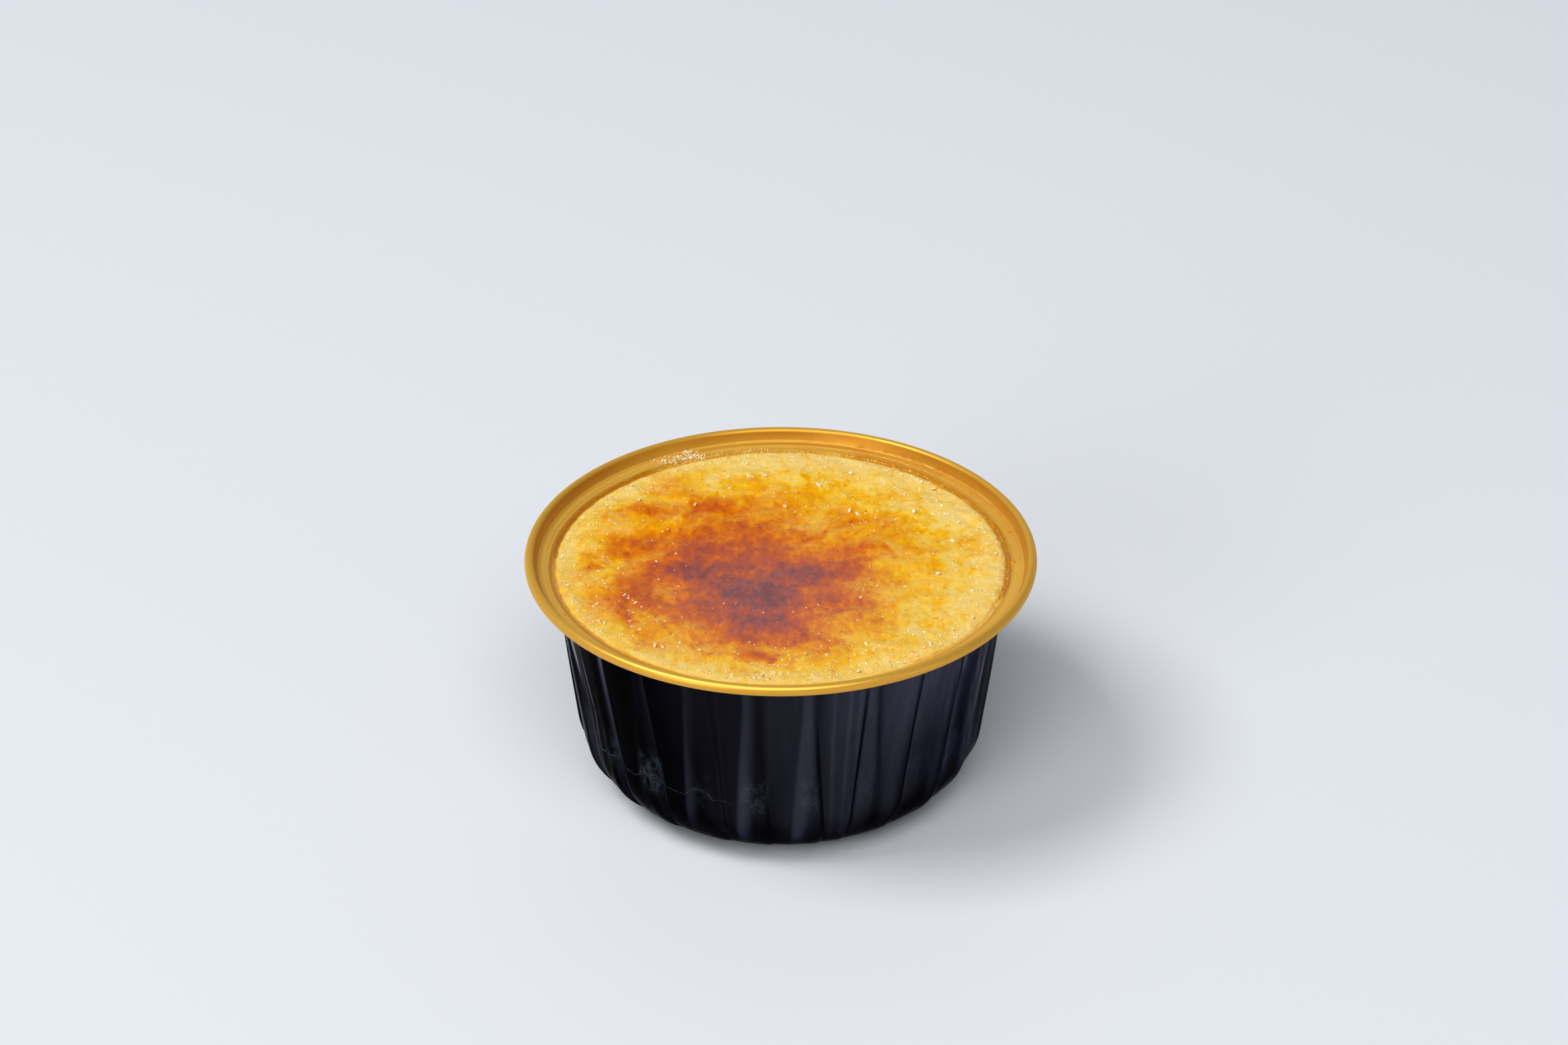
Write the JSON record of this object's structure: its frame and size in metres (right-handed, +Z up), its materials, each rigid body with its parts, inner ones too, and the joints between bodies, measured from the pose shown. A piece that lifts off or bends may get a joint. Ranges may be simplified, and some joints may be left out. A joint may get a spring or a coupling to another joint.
{
  "type": "creme brulee",
  "caption": "Creme brulee: baked custard with a scorched, glossy sugar top, set up to the ledge of a round pleated foil cup with a rolled rim.",
  "frame": {"origin": "centre of the cup's foot, on the surface it stands on", "axes": "+Z up along the cup's axis; -Y is the side towards the picture's camera, +X its right"},
  "size_m": [0.085, 0.085, 0.0416],
  "materials": {
    "lacquered_foil": "satin black lacquer outside, satin gold lacquer inside and on the rolled rim",
    "custard": "glossy baked custard, scorched amber to dark brown in the middle"
  },
  "bodies": {
    "root": {"cup": "lacquered_foil", "custard": "custard"}
  },
  "joints": []
}
